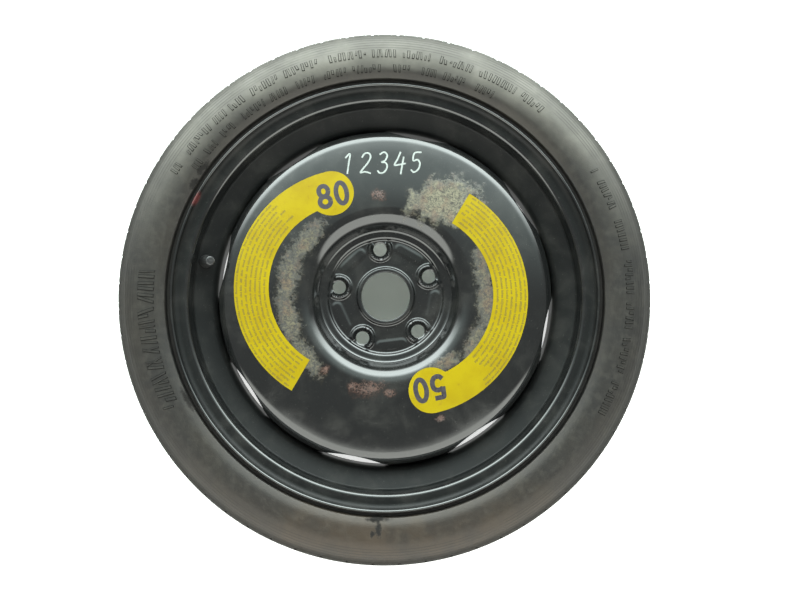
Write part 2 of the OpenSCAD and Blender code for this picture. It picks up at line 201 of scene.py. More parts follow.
def add_node(tree, kind, settings=None, sockets=(), out=0):
    """Adds a node with its settings, fills its sockets with values or links, and gives an output."""
    made = tree.nodes.new("ShaderNode" + kind)
    for name, value in (settings or {}).items():
        setattr(made, name, value)
    for name, value in sockets.items() if isinstance(sockets, dict) else enumerate(sockets):
        if isinstance(value, bpy.types.NodeSocket):
            tree.links.new(value, made.inputs[name])
        else:
            made.inputs[name].default_value = value
    return made.outputs[out] if made.outputs else None


def new_material(name):
    """An empty material, what adds nodes to it, and the object's own coordinates."""
    material = bpy.data.materials.new(name)
    material.use_nodes = True
    material.node_tree.nodes.clear()
    add = partial(add_node, material.node_tree)
    return material, add, add("TexCoord", out="Object")


def blotches(coords, size_mm, detail=4, rough=0.55, warp=0.0):
    """What a noise node takes for blotches about size_mm across."""
    return {"Vector": coords, "Scale": 1 / (size_mm * MM), "Detail": detail, "Roughness": rough,
            "Distortion": warp}


def layered(add, colour, *layers):
    """Lays colours over a first one, each as far as its amount says. A mix node's sockets 6 and 7 and its
    output 2 are the ones for colours."""
    for amount, tint in layers:
        under, over = (hex_colour(c) if isinstance(c, str) else c for c in (colour, tint))
        colour = add("Mix", COLOURS, {0: amount, 6: under, 7: over}, 2)
    return colour


def away_from_axis(add, coords):
    flat = add("VectorMath", TIMES, (coords, (1, 1, 0)))
    return add("VectorMath", {"operation": "LENGTH"}, (flat,), "Value")


def outward(add):
    """1 on the surfaces that face out of the car, 0 on the back."""
    across = add("SeparateXYZ", {}, (add("TexCoord", out="Normal"),), "Z")
    return add("MapRange", SMOOTH, (across, -0.1, 0.1))


def photo_place(x, y):
    """A place on the disc, in millimetres, from right and up of the hub as the photograph shows it."""
    a = math.radians(PHOTO_TURN)
    return (x * math.cos(a) - y * math.sin(a), x * math.sin(a) + y * math.cos(a))


# Marks: right and up of the hub as the photograph shows them, half sizes, in millimetres, and turn
CORROSION = [(68, 110, 37, 24, 8), (83, 93, 18, 13, -45)]
SCUFFS = [(-92, 62, 26, 9, 52), (-112, 22, 30, 10, 80), (-112, -26, 30, 10, 102), (-92, -70, 22, 8, 125),
          (112, 30, 26, 8, 98), (117, -10, 30, 9, 92), (104, -52, 28, 8, 66), (70, -78, 16, 7, 30)]
RUST_SPOTS = [(-20, -108, 14, 7, 10), (-38, -104, 5, 4, 0), (4, -112, 5, 4, 0), (34, -118, 4, 3, 20),
              (-70, -86, 5, 3, 40), (-8, 117, 7, 5, 0), (64, -142, 4, 3, 10)]
TYRE_MARKS = [(-8, -265, 3, 9, 0), (-14.5, -271, 2.4, 3.4, -20), (-8, -255, 11, 3, 0),
              (-211, 147, 9, 4, 50), (-221, 130, 7, 3.4, 58), (-226, -120, 14, 3, -58)]
RED_MARK = (-220, 112, 8, 2.6, 62)


def spot(add, coords, ragged, mark, edge):
    """A ragged oval mark on the wheel's face: 1 inside, 0 outside."""
    x, y, half_length, half_width, turn = mark
    place = photo_place(x, y)
    moved = add("Mapping", {"vector_type": "TEXTURE"}, {
        "Vector": coords, "Location": (place[0] * MM, place[1] * MM, 0),
        "Rotation": (0, 0, math.radians(turn + PHOTO_TURN)),
        "Scale": (half_length * MM, half_width * MM, 1)})
    shifted = add("Math", PLUS, (away_from_axis(add, moved), ragged))
    return add("MapRange", SMOOTH, (shifted, 1 + edge, 1 - edge))


def spots(add, coords, ragged, marks, edge):
    """Where any of several marks lies."""
    covered = 0.0
    for mark in marks:
        covered = add("Math", LARGER, (covered, spot(add, coords, ragged, mark, edge)))
    return covered


def raggedness(add, pattern, amount):
    """How far an oval's outline strays in and out."""
    centred = add("Math", MINUS, (add("TexNoise", {}, pattern), 0.5))
    return add("Math", TIMES, (centred, amount))


def dip_coated_steel(name, worn=False, dry=False):
    """Black cathodic dip coat on pressed steel: deep gloss with orange peel and a little dust, or dull and
    dry where it ran thin. Specks of dust are drawn larger than real ones, which are too fine to show."""
    material, add, coords = new_material(name)
    dust = add("MapRange", SMOOTH, (add("TexNoise", {}, blotches(coords, 38, 6, 0.62, 0.4)), 0.42, 0.78))
    specks = add("MapRange", SMOOTH, (add("TexNoise", {}, blotches(coords, 1.7, 3, 0.7)), 0.66, 0.74))
    colour = layered(add, "#161717", (add("Math", TIMES, (dust, 0.10)), "#6E6C66"),
                     (add("Math", TIMES, (specks, 0.28)), "#8C8A84"))
    gloss = add("MapRange", SMOOTH, (dust, 0, 1, *((0.40, 0.50) if dry else (0.10, 0.18))))
    orange_peel = add("TexNoise", {}, blotches(coords, 1.6, 2, 0.4))
    height = add("Math", TIMES, (orange_peel, 0.012))
    if worn:
        colour, gloss, height = corroded(add, coords, colour, gloss, height)
    else:
        red = add("Math", TIMES, (spot(add, coords, 0.0, RED_MARK, 0.5), outward(add)))
        colour = layered(add, colour, (red, "#542928"))
    bump = add("Bump", {}, {"Strength": 0.6, "Distance": 1 * MM, "Height": height})
    shader = add("BsdfPrincipled", {}, {
        "Base Color": colour, "Roughness": gloss, "Normal": bump, "IOR": 1.3 if dry else 1.75})
    add("OutputMaterial", {}, {"Surface": shader})
    return material


def corroded(add, coords, colour, gloss, height):
    """Turns a coat where it failed: bare, crusted filler with rust stains, thin scuffs, and rust in spots.
    All of it is matt and rough."""
    matt = 0.82
    ragged = raggedness(add, blotches(coords, 15, 8, 0.68), 2.6)
    fine = raggedness(add, blotches(coords, 6, 6, 0.7), 3.2)
    front = outward(add)
    crust = add("Math", TIMES, (spots(add, coords, ragged, CORROSION, 0.4), front))
    scuff = add("Math", TIMES, (spots(add, coords, fine, SCUFFS, 0.75), front))
    rust = add("Math", TIMES, (spots(add, coords, fine, RUST_SPOTS, 0.8), front))
    pits = add("TexNoise", {}, blotches(coords, 3.2, 6, 0.75, 1.2))

    stained = add("MapRange", SMOOTH, (add("TexNoise", {}, blotches(coords, 17)), 0.48, 0.66, 0.0, 0.5))
    filler = layered(add, "#2F2C25", (add("MapRange", SMOOTH, (pits, 0.38, 0.62)), "#79755F"),
                     (stained, "#664D3C"))
    stained = add("MapRange", SMOOTH, (add("TexNoise", {}, blotches(coords, 11)), 0.48, 0.64, 0.0, 0.5))
    scraped = layered(add, "#2D2A22", (add("MapRange", SMOOTH, (pits, 0.42, 0.6)), "#5C5641"),
                      (stained, "#60462F"))
    crusted = add("Math", TIMES, (crust, add("MapRange", SMOOTH, (pits, 0.3, 0.42))))
    scuffed = add("Math", TIMES, (scuff, add("MapRange", SMOOTH, (pits, 0.28, 0.60))))
    rust = add("Math", TIMES, (rust, add("MapRange", SMOOTH, (pits, 0.38, 0.6, 0.0, 0.6))))
    colour = layered(add, colour, (crusted, filler), (scuffed, scraped), (rust, "#6F4838"))

    marred = add("Math", LARGER, (add("Math", LARGER, (crust, scuff)), rust))
    gloss = add("Mix", {}, {0: marred, 2: gloss, 3: matt})
    roughened = add("Math", TIMES, (pits, add("Math", TIMES, (marred, 0.5))))
    return colour, gloss, add("Math", PLUS, (height, roughened))


def moulded_rubber():
    """Vulcanised tyre rubber: matt grey-black with a brownish bloom, muddy at the bottom, with fine rings
    that the
    mould left. Painted light: a lighter sheen and a highlight band along the top, where light falls, and
    painted shade at the bead by the rim's flange and along the tread's edge. The rings are drawn coarser
    than real ones, which are too fine to show."""
    material, add, coords = new_material("moulded_tyre_rubber")
    # A wave node turns by this many radians over one unit of its scale
    wave_rate = 20
    ring_pitch = 3.307 * MM
    away = away_from_axis(add, coords)
    upward = add("VectorMath", {"operation": "DOT_PRODUCT"}, (coords, (*photo_place(0, 1), 0)), "Value")
    face = add("MapRange", SMOOTH, (add("SeparateXYZ", {}, (coords,), "Z"), -4 * MM, 16 * MM))
    bloom = add("MapRange", SMOOTH, (add("TexNoise", {}, blotches(coords, 70, 5, 0.6)), 0.35, 0.7))
    dust = add("MapRange", SMOOTH, (add("TexNoise", {}, blotches(coords, 9, 6, 0.7)), 0.4, 0.75))

    # Painted sheen: the rubber is lighter towards the top, where light falls, and more so further out on the
    # sidewall
    painted_top_sheen = add("MapRange", SMOOTH, (upward, 30 * MM, 250 * MM))
    painted_top_sheen = add("Math", TIMES, (painted_top_sheen, add("MapRange", SMOOTH, (away, 261 * MM, 287 * MM, 0.04, 0.56))))
    # Painted highlight: a band across the sidewall near the top
    painted_top_highlight = add("MapRange", SMOOTH, (away, 260 * MM, 268 * MM))
    painted_top_highlight = add("Math", TIMES, (painted_top_highlight, add("MapRange", SMOOTH, (away, 290 * MM, 276 * MM))))
    painted_top_highlight = add("Math", TIMES, (
        painted_top_highlight, add("MapRange", SMOOTH, (upward, 200 * MM, 262 * MM, 0.0, 0.3))))
    painted_top_sheen = add("Math", TIMES, (add("Math", PLUS, (painted_top_sheen, painted_top_highlight)), face))
    painted_top_sheen = add("Math", TIMES, (painted_top_sheen, add("MapRange", SMOOTH, (bloom, 0, 1, 0.62, 1))))

    mud = add("MapRange", SMOOTH, (upward, -180 * MM, -300 * MM))
    mud = add("Math", TIMES, (mud, add("MapRange", SMOOTH, (bloom, 0, 1, 0.2, 0.5))))
    mud = add("Math", TIMES, (mud, face))
    # Painted shade: dark at the bead, in the gap by the rim's flange
    painted_bead_shade = add("MapRange", SMOOTH, (away, 254.5 * MM, 252 * MM))
    # Painted shade along the tread's edge, weaker towards the top, where light falls. The same mask roughens
    # the rubber
    edge = add("Math", TIMES, (add("MapRange", SMOOTH, (away, 298 * MM, 306 * MM, 0, 0.75)),
                               add("MapRange", SMOOTH, (upward, 280 * MM, 120 * MM, 0.4, 1))))
    ragged = raggedness(add, blotches(coords, 5, 5, 0.7), 2.8)
    stained = add("Math", TIMES, (spots(add, coords, ragged, TYRE_MARKS, 0.5), face))

    rings = add("TexWave", {"wave_type": "RINGS", "rings_direction": "Z"}, {
        "Vector": coords, "Scale": math.tau / (wave_rate * ring_pitch), "Distortion": 0.0}, "Fac")
    lines = add("Math", TIMES, (add("MapRange", SMOOTH, (rings, 0.72, 0.96, 0, 0.5)),
                                add("MapRange", SMOOTH, (away, 286 * MM, 290 * MM))))
    patchy = add("MapRange", SMOOTH, (add("TexNoise", {}, blotches(coords, 45, 3)), 0.35, 0.55))
    lines = add("Math", TIMES, (lines, patchy))
    colour = layered(add, "#1E1E1E", (bloom, "#262421"), (add("Math", TIMES, (dust, 0.25)), "#46443D"),
                     (painted_top_sheen, "#84827A"), (mud, "#46382A"), (painted_bead_shade, "#080808"), (edge, "#141413"),
                     (stained, "#060606"), (lines, "#121211"))

    rings = add("Math", TIMES, (rings, add("MapRange", SMOOTH, (away, 288 * MM, 296 * MM, 0, 0.6))))
    relief = add("Math", PLUS, (add("TexNoise", {}, blotches(coords, 1.4, 4, 0.6)), rings))
    bump = add("Bump", {}, {"Strength": 0.35, "Distance": 0.5 * MM, "Height": relief})
    rough = add("MapRange", SMOOTH, (dust, 0, 1, 0.44, 0.56))
    rough = add("Math", PLUS, (rough, add("Math", TIMES, (stained, 0.4))))
    rough = add("Math", PLUS, (rough, add("Math", TIMES, (edge, 0.45))))
    shader = add("BsdfPrincipled", {}, {
        "Base Color": colour, "Roughness": rough, "Normal": bump, "IOR": 1.5,
        "Specular Tint": hex_colour("#FFF7F1")})
    add("OutputMaterial", {}, {"Surface": shader})
    return material


def printed_film():
    """Yellow vinyl label film: satin, with a faintly uneven print and dirt in its texture."""
    material, add, coords = new_material("printed_vinyl_film")
    fade = add("MapRange", SMOOTH, (add("TexNoise", {}, blotches(coords, 30)), 0.35, 0.7))
    dirt = add("MapRange", SMOOTH, (add("TexNoise", {}, blotches(coords, 7, 6, 0.75)), 0.55, 0.74))
    colour = layered(add, "#9A8808", (fade, "#917D06"), (add("Math", TIMES, (dirt, 0.45)), "#7A5A1C"))
    texture = add("TexNoise", {}, blotches(coords, 2.5, 2))
    bump = add("Bump", {}, {"Strength": 0.2, "Distance": 0.2 * MM, "Height": texture})
    rough = add("MapRange", SMOOTH, (dirt, 0, 1, 0.42, 0.6))
    shader = add("BsdfPrincipled", {}, {
        "Base Color": colour, "Roughness": rough, "Normal": bump, "IOR": 1.28})
    add("OutputMaterial", {}, {"Surface": shader})
    return material


def plain_finish(name, low, high, size_mm, rough, metallic=0.0, ior=1.5, relief=0.2, stretch=None):
    """A finish whose colour, roughness and height wander together. Its grain is drawn coarser than the real
    one, which is too fine to show."""
    material, add, coords = new_material(name)
    if stretch:
        coords = add("Mapping", {}, {"Vector": coords, "Scale": stretch})
    grain = add("MapRange", SMOOTH, (add("TexNoise", {}, blotches(coords, size_mm, 5, 0.6)), 0.3, 0.7))
    bump = add("Bump", {}, {"Strength": relief, "Distance": 0.2 * MM, "Height": grain})
    sockets = {"Base Color": layered(add, low, (grain, high)),
               "Roughness": add("MapRange", SMOOTH, (grain, 0, 1, rough * 0.85, min(1, rough * 1.15))),
               "Normal": bump, "Metallic": metallic}
    if metallic == 0:
        sockets["IOR"] = ior
    add("OutputMaterial", {}, {"Surface": add("BsdfPrincipled", {}, sockets)})
    return material


def glowing_paper():
    """White backing paper that glows: even and pale, with a painted shadow under the wheel's hub, where it
    glows dimmer and greener.
    """
    material, add, coords = new_material("pale_paper_floor")
    tone = add("MapRange", SMOOTH, (add("TexNoise", {}, blotches(coords, 40, 3)), 0.3, 0.7))
    colour = layered(add, "#E9EAE8", (tone, "#EEEFED"))
    away = away_from_axis(add, coords)
    # Painted shadow: under the hub the paper glows dimmer and greener
    painted_shadow_tint = add("MapRange", SMOOTH, (away, 160 * MM, 90 * MM))
    painted_shadow_glow = add("MapRange", SMOOTH, (away, 90 * MM, 160 * MM, 0.19, 0.85))
    far_off = add("MapRange", SMOOTH, (away, 240 * MM, 400 * MM, 0.0, 0.15))
    shader = add("BsdfPrincipled", {}, {
        "Base Color": colour, "Emission Color": layered(add, colour, (painted_shadow_tint, "#CFDCCB")),
        "Emission Strength": add("Math", LARGER, (painted_shadow_glow, far_off)), "Roughness": 0.9})
    add("OutputMaterial", {}, {"Surface": shader})
    return material


disc_coat = dip_coated_steel("dip_coated_steel_worn", worn=True)
rim_coat = dip_coated_steel("dip_coated_steel")
dry_coat = dip_coated_steel("dip_coated_steel_dry", dry=True)
tyre_rubber = moulded_rubber()
film = printed_film()
# Tyre rubber darkened as painted shade on the flanks of the raised bars: dull, with next to no shine
flank_shade_rubber = plain_finish("painted_shade_mould_rubber", "#171715", "#222220", 3, 0.75, ior=1.15)
# Vinyl ink, screen printed: a flat, blue-black layer
print_ink = plain_finish("screen_print_ink", "#2C2930", "#37333A", 3, 0.5)
# The same ink in hairlines, through which the film's yellow shows
small_ink = plain_finish("small_print_ink", "#50441F", "#5C4E22", 3, 0.55)
# Paint from a marker pen: chalky white, thinner in places
marker_paint = plain_finish("paint_marker", "#8C938F", "#A9AFAB", 1.5, 0.6)
# Rubber moulded round the valve's stem: matt grey-black
valve_rubber = plain_finish("moulded_valve_rubber", "#1B1B1B", "#262625", 4, 0.6)
# Nylon, injection moulded in a polished die: dark grey with a clear shine
cap_nylon = plain_finish("moulded_nylon", "#2E2E2F", "#424242", 3, 0.18)
# Brass turned on a lathe: its fine marks run round the stem
brass = plain_finish("turned_brass", "#B08D4A", "#C9A866", 0.8, 0.32, 1.0, stretch=(1, 1, 6))
# Spring steel, drawn through a die: pale and bright
drawn_steel = plain_finish("drawn_steel_wire", "#9A9A98", "#B4B4B2", 0.6, 0.3, 1.0)
# Weld bead under the dip coat: rippled and black
weld_steel = plain_finish("coated_weld_bead", "#101112", "#1C1B1A", 2, 0.3, relief=0.6)

# Rim: rolled sheet, from the outer lip to the inner one
LIP_END_IN, LIP_CREST_IN, LIP_END_H, LIP_CREST_H = 2.9, 1.3, 12, 13.1
WELL_BEND, RIM_STEPS = 8, 300


def flange_corners(side):
    """Corners from a lip to the inner end of its bead seat. Side is 1 at the front and -1 at the back."""
    return [(FLANGE_R - LIP_END_IN, side * (HALF_RIM + LIP_END_H), 0),
            (FLANGE_R - LIP_CREST_IN, side * (HALF_RIM + LIP_CREST_H), 1.2),
            (FLANGE_R, side * (HALF_RIM + FLANGE_CURL + 2), 1.3),
            (FLANGE_R, side * HALF_RIM, FLANGE_CURL),
            (SEAT_R, side * HALF_RIM, 2.6),
            (SEAT_END_R, side * (HALF_RIM - SEAT_WIDTH), 6)]


def lifted(path):
    """A path about the rim's middle plane, moved to where that lies."""
    return [(r, z + MID_Z) for r, z in path]


rim_path = lifted(rounded(
    flange_corners(1) + [(WELL_R, WELL_FRONT, WELL_BEND), (WELL_R, WELL_BACK, WELL_BEND)]
    + flange_corners(-1)[::-1], 6))
rim_points, rim_faces = turned(
    rim_path + offset(rim_path, RIM_SHEET), np.linspace(0, math.tau, RIM_STEPS, endpoint=False))
rim = piece("rolled_rim", rim_points, rim_faces, rim_coat, ["rim"], "black_steel")
# The coat ran thin and dull in the well and on the flanges' faces
DRY_WELL_R, DRY_FLANGE_IN, DRY_FLANGE_OUT = SEAT_END_R - 2, SEAT_R + 1.8, FLANGE_R - 3.1
rim.data.materials.append(dry_coat)
for face in rim.data.polygons:
    r = math.hypot(face.center.x, face.center.y) / MM
    face.material_index = int(r < DRY_WELL_R or DRY_FLANGE_IN < r < DRY_FLANGE_OUT)

# Disc: one pressing. The hub's floor is flat to HUB_END, and all that is pressed in it lies within HUB_R
HUB_END, HUB_R, CORNER_IN, DISC_STEPS = 62.8, 64, 6.5, 480
BOSS_FLANK, PAD_FLANK, DENT_FLANK = (BOSS_R - 0.4, BOSS_R + 3.4), (-2.2, 1.6), (-0.7, 0.7)
SEAT_MOUTH_R, BALL_RISE, DENT_LESS = 11.53, 6, 0.05
COLLAR_BEND, COLLAR_WALL, COLLAR_FOOT, BORE_EDGE = 1.5, 5, 3, 1


def dome_z(r):
    return CREST_Z - (r - DOME_START) ** 2 / (2 * DOME_BEND)


shoulder_slope = (SHOULDER_R - DOME_START) / DOME_BEND
corner_r = DISC_R - CORNER_IN
corner_z = dome_z(SHOULDER_R) - (corner_r - SHOULDER_R) * shoulder_slope


def disc_path(hub_step, dome_steps, step):
    floor = [(r, DISC_SHEET) for r in np.arange(BORE_R, HUB_END, hub_step)]
    wall = rounded([(HUB_END, DISC_SHEET, 0), (FLOOR_R, DISC_SHEET, 3), (FLOOR_R + 3, LEDGE_Z, 4.5),
                    (FLOOR_R + 11, LEDGE_Z + 0.4, 5), (CREST_R - 4, CREST_Z, 24),
                    (DOME_START, CREST_Z, 0)], step)
    dome = [(r, dome_z(r)) for r in np.linspace(DOME_START, SHOULDER_R, dome_steps + 1)[1:-1]]
    edge = rounded([(SHOULDER_R, dome_z(SHOULDER_R), 0), (corner_r, corner_z, 18),
                    (DISC_R, DISC_TOP_EDGE, 5), (DISC_R, DISC_END, 0)], step)
    return floor + wall + dome + edge


def nearest(a, offset_turns):
    """The angle from each column to the nearest bolt, or to the nearest pad with an offset of 0.5."""
    pitch = math.tau / BOLTS
    return (a - math.pi - offset_turns * pitch + pitch / 2) % pitch - pitch / 2


def ease(x, low, high):
    t = np.clip((x - low) / (high - low), 0, 1)
    return t * t * (3 - 2 * t)


def pad_distance(r, a):
    """How far a place lies outside the pressed pad nearest to it."""
    d = nearest(a, 0.5)
    across, along = r * np.cos(d) - PAD_R, np.maximum(np.abs(r * np.sin(d)) - PAD_LENGTH / 2, 0)
    return np.hypot(across, along) - PAD_HALF_W


def pressed_top(r, z, a):
    """Lifts the bolt bosses and pads out of the hub floor, and sinks the ball seats."""
    d = nearest(a, 0)
    from_bolt = np.hypot(r * np.cos(d) - BOLT_CIRCLE_R, r * np.sin(d))
    boss = BOSS_TOP - (BOSS_TOP - DISC_SHEET) * ease(from_bolt, *BOSS_FLANK)
    pad = DISC_SHEET + PAD_H * ease(-pad_distance(r, a), *PAD_FLANK)
    seat = BOSS_TOP + BALL_RISE - np.sqrt(np.maximum(BALL_R ** 2 - from_bolt ** 2, BALL_RISE ** 2))
    lifted_z = np.maximum(np.maximum(z, boss), pad)
    lifted_z = np.where(from_bolt < SEAT_MOUTH_R, np.minimum(lifted_z, seat), lifted_z)
    return r, np.where(r < HUB_R, lifted_z, z)


def pressed_back(r, z, a):
    """Presses the pads in from the back of the hub floor, a little less than they rise in front."""
    dent = (PAD_H - DENT_LESS) * ease(-pad_distance(r, a) - PAD_FLANK[1], *DENT_FLANK)
    return r, np.where(r < HUB_R, z + dent, z)


collar_foot_r = BORE_R + COLLAR_WALL + COLLAR_FOOT
collar = [(BORE_R, BORE_EDGE), (BORE_R, COLLAR_H - BORE_EDGE)]
collar += arc((BORE_R + BORE_EDGE, COLLAR_H - BORE_EDGE), BORE_EDGE, 180, 90, 3)
collar += arc((BORE_R + COLLAR_WALL - COLLAR_BEND, COLLAR_H - COLLAR_BEND), COLLAR_BEND, 90, 0, 4)
collar += arc((collar_foot_r, DISC_SHEET + COLLAR_FOOT), COLLAR_FOOT, 180, 270, 6)
top_path = collar + [p for p in disc_path(0.95, 16, 7) if p[0] > collar_foot_r + 0.4]
back_path = offset(disc_path(1.9, 9, 11), DISC_SHEET)
back_path = [(r, max(z, 0.0) if r < HUB_R else z) for r, z in back_path if r > BORE_R + BORE_EDGE + 0.4]
back_path.append((BORE_R + BORE_EDGE, 0.0))


def disc_shape(r, z, a):
    count = len(top_path)
    top_r, top_z = pressed_top(r[:count], z[:count], a)
    back_r, back_z = pressed_back(r[count:], z[count:], a)
    # The collar keeps its own outline
    top_z[:len(collar)] = z[:len(collar)]
    return np.vstack([top_r, back_r]), np.vstack([top_z, back_z])


disc_points, disc_faces = turned(
    top_path + back_path, np.linspace(0, math.tau, DISC_STEPS, endpoint=False), disc_shape)
disc = piece("pressed_disc", disc_points, disc_faces, disc_coat, ["wheel_disc"], "black_steel")


def cutter(radius, x, y, low, high, sides):
    """A plain cylinder to cut with, in millimetres."""
    ring = [(x + radius * math.cos(math.tau * i / sides), y + radius * math.sin(math.tau * i / sides))
            for i in range(sides)]
    points = [(*p, low) for p in ring] + [(*p, high) for p in ring]
    faces = [(i, (i + 1) % sides, sides + (i + 1) % sides, sides + i) for i in range(sides)]
    return points, faces + [tuple(range(sides))[::-1], tuple(range(sides, 2 * sides))]


def cut(made, shapes):
    """Cuts the shapes out of a piece."""
    points, faces = [], []
    for p, f in shapes:
        faces += [tuple(i + len(points) for i in face) for face in f]
        points += p
    mesh = bpy.data.meshes.new("cutter")
    mesh.from_pydata((np.array(points) * MM).tolist(), [], faces)
    tool = bpy.data.objects.new("cutter", mesh)
    bpy.context.scene.collection.objects.link(tool)
    knife = made.modifiers.new("cut", "BOOLEAN")
    knife.operation, knife.solver, knife.object = "DIFFERENCE", "EXACT", tool
    bpy.context.view_layer.update()
    result = bpy.data.meshes.new_from_object(made.evaluated_get(bpy.context.evaluated_depsgraph_get()))
    made.modifiers.clear()
    made.data = result
    bpy.data.objects.remove(tool)


PAST_HUB, PAST_DISC = (-3, 12), (DISC_END - 5, 32)
holes = []
for i in range(BOLTS):
    x, y = on_circle((0, 0), BOLT_CIRCLE_R, 180 + 360 / BOLTS * i)
    holes.append(cutter(BOLT_HOLE_R, x, y, *PAST_HUB, 48))
for i in range(WINDOWS):
    x, y = on_circle((0, 0), WINDOW_R + WINDOW_ARC, 360 / WINDOWS * i)
    holes.append(cutter(WINDOW_ARC, x, y, *PAST_DISC, 360))
cut(disc, holes)
smooth(disc, SHARP_EDGE)

# Tyre: outside from the crown to the bead, and inside back to the crown
SEAT_TAPER, TOE_IN, HEEL_BEND, TYRE_GAP = math.radians(5), 3, 6.5, 0.1
side_h = TYRE_R - FLANGE_R
crown_bend = HALF_TREAD ** 2 / (2 * CROWN_DROP)
wide_r = FLANGE_R + 0.41 * side_h
curl = (FLANGE_R - FLANGE_CURL, HALF_RIM + FLANGE_CURL)
heel = (SEAT_R + HEEL_BEND, HALF_RIM - HEEL_BEND)
toe = (SEAT_R + TYRE_GAP - (SEAT_WIDTH - TOE_IN) * math.tan(SEAT_TAPER), HALF_RIM - SEAT_WIDTH + TOE_IN)


def crown(s):
    return TYRE_R - s * s / (2 * crown_bend)


outside = rounded([
    (crown(0), 0, 0), (crown(HALF_TREAD * 0.3), HALF_TREAD * 0.3, 60),
    (crown(HALF_TREAD * 0.7), HALF_TREAD * 0.7, 60), (crown(HALF_TREAD), HALF_TREAD, 9),
    (TYRE_R - 0.28 * side_h, HALF_TYRE - 4.2, 30), (wide_r + 5, HALF_TYRE, 26),
    (FLANGE_R + 14.5, HALF_TYRE - 0.8, 16), (FLANGE_R + 5.6, HALF_RIM + 11.4, 2.5),
    (FLANGE_R + 4.4, HALF_RIM + 5.6, 1.5), on_circle(curl, FLANGE_CURL + 0.3, -20)], 14)
bead = arc(curl, FLANGE_CURL + TYRE_GAP, -32, -90, 2) + arc(heel, HEEL_BEND - TYRE_GAP, 90, 175, 2)
inside = [
    toe, (toe[0] + 3.4, toe[1] - 1.2), (SEAT_R + 12, HALF_RIM - 11), (FLANGE_R + 1, HALF_RIM - 1),
    (FLANGE_R + 14, HALF_TYRE - SIDE_WALL - 0.6), (wide_r + 6, HALF_TYRE - SIDE_WALL),
    (TYRE_R - TREAD_WALL - 10, HALF_TREAD - 1), (TYRE_R - TREAD_WALL - 1.6, HALF_TREAD * 0.55),
    (TYRE_R - TREAD_WALL, 0)]
SLOT_END = HALF_TREAD + 2 - SLOT_LENGTH
SLOT_WALL, GROOVE_FOOT, RIB_POINT = 0.15, 0.38, 5.5
groove_pitch = (2 * HALF_TREAD - 2 * (SLOT_LENGTH + 3)) / 3
wall_s = [p[1] for p in outside if p[1] <= HALF_TREAD - 3]
wall_r = [p[0] for p in outside if p[1] <= HALF_TREAD - 3]


def tread_line():
    """The crown of one half, with its two grooves and the inner end of the slots."""
    line = [(float(np.interp(0, wall_s, wall_r)), 0)]
    for centre in (groove_pitch / 2, groove_pitch * 1.5):
        for across, depth in ((-0.5, 0), (-GROOVE_FOOT, 1), (GROOVE_FOOT, 1), (0.5, 0)):
            s = centre + across * GROOVE_W
            line.append((float(np.interp(s, wall_s, wall_r)) - depth * GROOVE_DEPTH, s))
        line.append((float(np.interp(centre + RIB_POINT, wall_s, wall_r)), centre + RIB_POINT))
    return [p for p in line if p[1] < SLOT_END - 0.2]


# The crown's own points stop at CROWN_END. Those of the outside take over from SHOULDER_S
CROWN_END, SHOULDER_S, SHOULDER_LOW_R = 42, 44, 305
half_outline = tread_line()
for s in (SLOT_END - SLOT_WALL, SLOT_END + SLOT_WALL, CROWN_END):
    half_outline.append((float(np.interp(s, wall_s, wall_r)), s))
half_outline += [p for p in outside if p[1] > SHOULDER_S or p[0] < SHOULDER_LOW_R] + bead + inside
tyre_outline = half_outline + [(r, -s) for r, s in half_outline[::-1] if s > 0]

pitch_angle = math.tau / SLOTS
tyre_angles, in_slot = [], []
for pitch in range(SLOTS):
    for kind, at in (("back", 0), ("sipe", 0.25), ("front", 0.5), ("sipe", 0.75)):
        centre = (pitch + at) * pitch_angle
        mouth, foot = (SIPE_W, 0) if kind == "sipe" else (SLOT_W, SLOT_W - SLOT_TAPER)
        columns = [-mouth / 2, *sorted({-foot / 2, foot / 2}), mouth / 2]
        for n, across in enumerate(columns):
            tyre_angles.append(centre + across / TYRE_R)
            in_slot.append(kind if 0 < n < len(columns) - 1 else "")
in_slot = np.array(in_slot)[None, :]


def tread_blocks(r, z, a):
    """Sinks the shoulders' slots and nicks, and the fine cuts of the middle ribs."""
    s = z - MID_Z
    outer = np.zeros(r.shape, bool)
    count = len(half_outline) - len(inside) - len(bead)
    outer[:count] = True
    outer[-count + 1:] = True
    side = np.where(s > 0, "front", "back")
    shoulder = outer & (np.abs(s) > SLOT_END)
    r = np.where(shoulder & (side == in_slot), np.minimum(r, crown(HALF_TREAD) - SLOT_DEPTH), r)
    r = np.where(shoulder & (in_slot == "sipe"), np.minimum(r, crown(HALF_TREAD) - NICK_DEPTH), r)
    rib = outer & (np.abs(s) < groove_pitch * 1.5) & (np.abs(s) > 0.1)
    return np.where(rib & (in_slot == "sipe"), np.minimum(r, TYRE_R - SIPE_DEPTH), r), z


tyre_points, tyre_faces = turned(lifted(tyre_outline), tyre_angles, tread_blocks)
piece("moulded_tyre", tyre_points, tyre_faces, tyre_rubber, ["tyre"], "tyre_rubber", sharp=38)

# Raised marks on the sidewalls: plain bars of uneven width


def gather(parts):
    """Joins several meshes into one."""
    points, faces, count = [], [], 0
    for p, f in parts:
        faces += [tuple(i + count for i in face) for face in f]
        points.append(p)
        count += len(p)
    return np.vstack(points), faces


wall_line = sorted((r, s) for r, s in outside if s > HALF_RIM + 13)


def wall_height(r):
    return np.interp(r, [p[0] for p in wall_line], [p[1] for p in wall_line])


# A bar has a foot in the rubber, a line where it leaves the rubber and a narrower crown, each with two edges
BAR_STEPS, BAR_EDGES, BAR_FOOT, BAR_LINE, BAR_TOP, BAR_TAPER, BAR_INSET = 4, 6, 0.6, 0.02, 0.8, 0.8, 0.2


